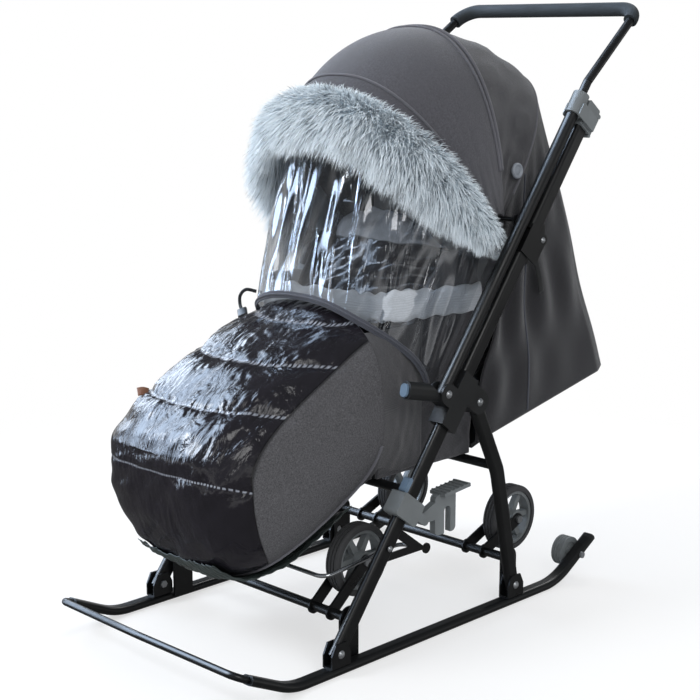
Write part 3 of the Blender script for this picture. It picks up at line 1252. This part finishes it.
class STROLLER_OT_seat(bpy.types.Operator):
    """Make the seat pad, the back pad and the side cloths"""

    bl_idname = "stroller.seat"
    bl_label = "Seat"

    def execute(self, context):
        # The seat pad lies level on its board, and the back pad along the sloping back board from its hinge.
        seat_mid, back_mid = -0.025, 0.209
        x, y, z = pad_form(half=0.144, length=0.086, low=0.2850, high=0.304, crown=0.006)
        level = np.stack([x, y + seat_mid, z], -1)
        x, along, lift = pad_form(half=0.145, length=0.160, low=0.0116, high=0.0324, crown=0.006)
        along = along + back_mid
        y = HINGE_Y + along * math.cos(BACK_SLOPE) - lift * math.sin(BACK_SLOPE)
        z = HINGE_Z + along * math.sin(BACK_SLOPE) + lift * math.cos(BACK_SLOPE)
        sloping = np.stack([x, y, z], -1)
        for name, form, body, node in (
            ("seat_pad", level, "frame", "seat_cloth"),
            ("back_cushion", sloping, "back_rest", "back_pad"),
        ):
            pad = piece(name, form, "nylon_satin", body, "quilt_satin", node, wrap=(False, True), weld=True)
            turn_out(pad)
            puffed(pad)

        # Side cloths: ruled from the seat's edge, level with the hinge, to an edge that climbs to the hood.
        u, v = np.meshgrid(np.linspace(0, 1, 90), np.linspace(0, 1, 90), indexing="ij")
        knots = np.array([(-0.116, 0.436), (-0.052, 0.500), (0.036, 0.640), (0.126, 0.636)])
        upper = np.stack([np.interp(u[:, 0], (0, 0.30, 0.72, 1.0), knots[:, k]) for k in (0, 1)], -1)
        seat_front, seat_long, seat_half, ripple = -0.130, 0.236, 0.1575, 0.0012
        y = (seat_front + seat_long * u) * (1 - v) + upper[:, None, 0] * v
        z = HINGE_Z * (1 - v) + upper[:, None, 1] * v
        for side, way in SIDES:
            x = way * (seat_half - ripple * np.abs(waves(u * 2, v * 2, 71)))
            wall = np.stack([x, y, z], -1)
            obj = piece(
                f"seat_wall_{side}", wall, "seat_polyester", "frame", "seat_fabric", "seat_cloth",
                flip=way < 0,
            )
            thicken(obj, SEAT_WALL)
        return {"FINISHED"}


def make_floor(setup):
    """A plain pale floor of 3.2 m that fades out, with faint clouds of 500 mm.

    What the camera sees of it is mostly plain white, so that it meets the background.
    """
    made, tree, shader = begin("studio_floor")
    where = add(tree, "ShaderNodeTexCoord").outputs["Object"]
    cloud = add(tree, "ShaderNodeTexNoise", {"Vector": where, "Scale": 1000.0 / 500.0}).outputs["Fac"]
    tones = ((0.3, shade(setup.floor, 0.99)), (0.7, linear(setup.floor)))
    paint = add(tree, "ShaderNodeValToRGB", {"Fac": cloud}, ramp=tones).outputs["Color"]
    join(tree, shader, Base_Color=paint, Roughness=0.95, Specular_IOR_Level=0.1)
    ray = add(tree, "ShaderNodeLightPath").outputs["Is Camera Ray"]
    seen = add(tree, "ShaderNodeMath", {0: ray, 1: setup.floor_glow}, operation="MULTIPLY").outputs["Value"]
    glow = add(tree, "ShaderNodeEmission", {"Color": WHITE, "Strength": 1.0}).outputs["Emission"]
    lit = add(tree, "ShaderNodeMixShader", {0: seen, 1: shader.outputs["BSDF"], 2: glow}).outputs["Shader"]
    far = add(tree, "ShaderNodeVectorMath", {0: where}, operation="LENGTH").outputs["Value"]
    fade = add(
        tree, "ShaderNodeMapRange", {"Value": far, "From Min": 0.55, "From Max": 1.55},
        interpolation_type="SMOOTHSTEP",
    ).outputs["Result"]
    gone = add(tree, "ShaderNodeBsdfTransparent").outputs["BSDF"]
    whole = add(tree, "ShaderNodeMixShader", {0: fade, 1: lit, 2: gone}).outputs["Shader"]
    join(tree, tree.nodes["Material Output"], Surface=whole)
    half, below = 1.6, 0.0002
    x, y = np.meshgrid(np.linspace(-half, half, 33), np.linspace(-half, half, 33), indexing="ij")
    floor = skin("floor", np.stack([x, y, 0 * x - below], -1), made)
    # Shiny pieces mirror the dim lower half of the room instead of the floor.
    floor.visible_glossy = False


def make_lamps(scene, setup):
    """Four soft round lamps, each turned to a point in the stroller."""
    for name, spot, aim, wide, watts, tint in (
        ("key", (-1.2, -2.6, 2.6), (0, -0.1, 0.5), 1.1, setup.key, "f6faff"),
        ("window", (-2.5, 0.2, 1.4), (0, -0.3, 0.5), 1.3, setup.window, "dcebff"),
        ("fill", (2.8, -1.2, 2.2), (0, 0, 0.5), 1.6, setup.fill, "ffffff"),
        ("back", (-0.8, 2.4, 2.6), (0, 0, 0.6), 1.4, setup.fill, "ffffff"),
    ):
        lamp = bpy.data.lights.new(name, "AREA")
        lamp.shape, lamp.size, lamp.energy, lamp.color = "DISK", wide, watts, linear(tint)[:3]
        holder = bpy.data.objects.new(name, lamp)
        holder.rotation_mode = "QUATERNION"
        holder.rotation_quaternion = Vector(np.subtract(spot, aim)).to_track_quat("Z", "Y")
        holder.location = spot
        scene.collection.objects.link(holder)


def make_world(scene, setup):
    """The room: the camera and clear pieces see white, and the part is lit by an even sky.

    Mirrors see white at the horizon, a dim room above it and below it, and two windows.
    """
    world = bpy.data.worlds.new("studio")
    world.use_nodes = True
    tree = world.node_tree
    sky = tree.nodes["Background"]
    join(tree, sky, Color=(0.93, 0.96, 1.0, 1.0), Strength=0.75)
    ray = add(tree, "ShaderNodeLightPath")
    seen = add(
        tree, "ShaderNodeMath", {0: ray.outputs["Is Camera Ray"], 1: ray.outputs["Is Transmission Ray"]},
        operation="MAXIMUM",
    ).outputs["Value"]
    way = add(tree, "ShaderNodeTexCoord").outputs["Generated"]
    height = add(tree, "ShaderNodeSeparateXYZ", {0: way}).outputs["Z"]
    room = add(
        tree, "ShaderNodeValToRGB", {"Fac": height}, ramp=((0.01, WHITE), (0.16, (0.16, 0.17, 0.18, 1.0)))
    ).outputs["Color"]
    below = add(
        tree, "ShaderNodeMapRange", {"Value": height, "From Min": -0.12, "From Max": 0.0, "To Min": 0.12},
        interpolation_type="SMOOTHSTEP",
    ).outputs["Result"]
    mirror = add(tree, "ShaderNodeBackground", {"Color": room, "Strength": below}).outputs[0]
    # Two windows at the left, one high and one low: their direction, and the cosines at their edge and core.
    for toward, edge, core, bright in (
        ((-0.55, -0.42, 0.72), 0.85, 0.93, setup.pane),
        ((-0.88, -0.46, 0.10), 0.965, 0.99, setup.pane * 0.7),
    ):
        facing = add(tree, "ShaderNodeVectorMath", {0: way, 1: toward}, operation="DOT_PRODUCT")
        pane = add(
            tree, "ShaderNodeMapRange",
            {"Value": facing.outputs["Value"], "From Min": edge, "From Max": core, "To Max": bright},
            interpolation_type="SMOOTHSTEP",
        ).outputs["Result"]
        glass = add(tree, "ShaderNodeBackground", {"Color": linear("cfe4ff"), "Strength": pane}).outputs[0]
        mirror = add(tree, "ShaderNodeAddShader", {0: mirror, 1: glass}).outputs[0]
    white = add(tree, "ShaderNodeBackground", {"Color": WHITE, "Strength": 1.0}).outputs[0]
    glossy = ray.outputs["Is Glossy Ray"]
    lit = add(tree, "ShaderNodeMixShader", {0: glossy, 1: sky.outputs[0], 2: mirror}).outputs[0]
    whole = add(tree, "ShaderNodeMixShader", {0: seen, 1: lit, 2: white}).outputs[0]
    join(tree, tree.nodes["World Output"], Surface=whole)
    scene.world = world


def make_camera(scene, setup):
    """The camera: its axes to the right, down and ahead, and its place."""
    camera = bpy.data.cameras.new("camera")
    camera.lens, camera.sensor_width, camera.clip_end = setup.lens, 36.0, 50.0
    holder = bpy.data.objects.new("camera", camera)
    right = np.array([0.70950628, 0.70469911, 0.0])
    down = np.array([0.14258567, -0.14355833, -0.97931626])
    ahead = np.array([-0.6901233, 0.69483103, -0.20233553])
    place = np.array([1.8369, -1.885, 0.99664])
    turn = np.eye(4)
    turn[:3] = np.stack([right, -down, -ahead, place], -1)
    holder.matrix_world = Matrix(turn.tolist())
    scene.collection.objects.link(holder)
    scene.camera = holder


class STROLLER_OT_stage(bpy.types.Operator):
    """Make the floor, the lamps, the room and the camera"""

    bl_idname = "stroller.stage"
    bl_label = "Stage"

    def execute(self, context):
        scene, setup = context.scene, context.scene.stroller_stage
        make_floor(setup)
        make_lamps(scene, setup)
        make_world(scene, setup)
        scene.view_settings.view_transform = "Standard"
        make_camera(scene, setup)
        return {"FINISHED"}


class STROLLER_PT_panel(bpy.types.Panel):
    """Lists the pieces and the settings"""

    bl_idname = "STROLLER_PT_panel"
    bl_label = "Sled stroller"
    bl_space_type = "VIEW_3D"
    bl_region_type = "UI"
    bl_category = "Stroller"

    def draw(self, context):
        for name, _ in GROUPS:
            group = getattr(context.scene, name)
            box = self.layout.box()
            for key in group.__annotations__:
                box.prop(group, key)
        for step in STEPS:
            self.layout.operator(step.bl_idname)


STEPS = (
    STROLLER_OT_finishes,
    STROLLER_OT_hood,
    STROLLER_OT_fur,
    STROLLER_OT_window,
    STROLLER_OT_muff,
    STROLLER_OT_cabin,
    STROLLER_OT_seat,
    STROLLER_OT_stage,
)
GROUPS = (
    ("stroller_colours", StrollerColours),
    ("stroller_sizes", StrollerSizes),
    ("stroller_stage", StrollerStage),
)


def register():
    for name, group in GROUPS:
        bpy.utils.register_class(group)
        setattr(bpy.types.Scene, name, PointerProperty(type=group))
    for step in (*STEPS, STROLLER_PT_panel):
        bpy.utils.register_class(step)


def unregister():
    for step in (STROLLER_PT_panel, *reversed(STEPS)):
        bpy.utils.unregister_class(step)
    for name, group in reversed(GROUPS):
        delattr(bpy.types.Scene, name)
        bpy.utils.unregister_class(group)


def main():
    register()
    for step in STEPS:
        getattr(bpy.ops.stroller, step.bl_idname.split(".")[1])()


if __name__ == "__main__":
    main()
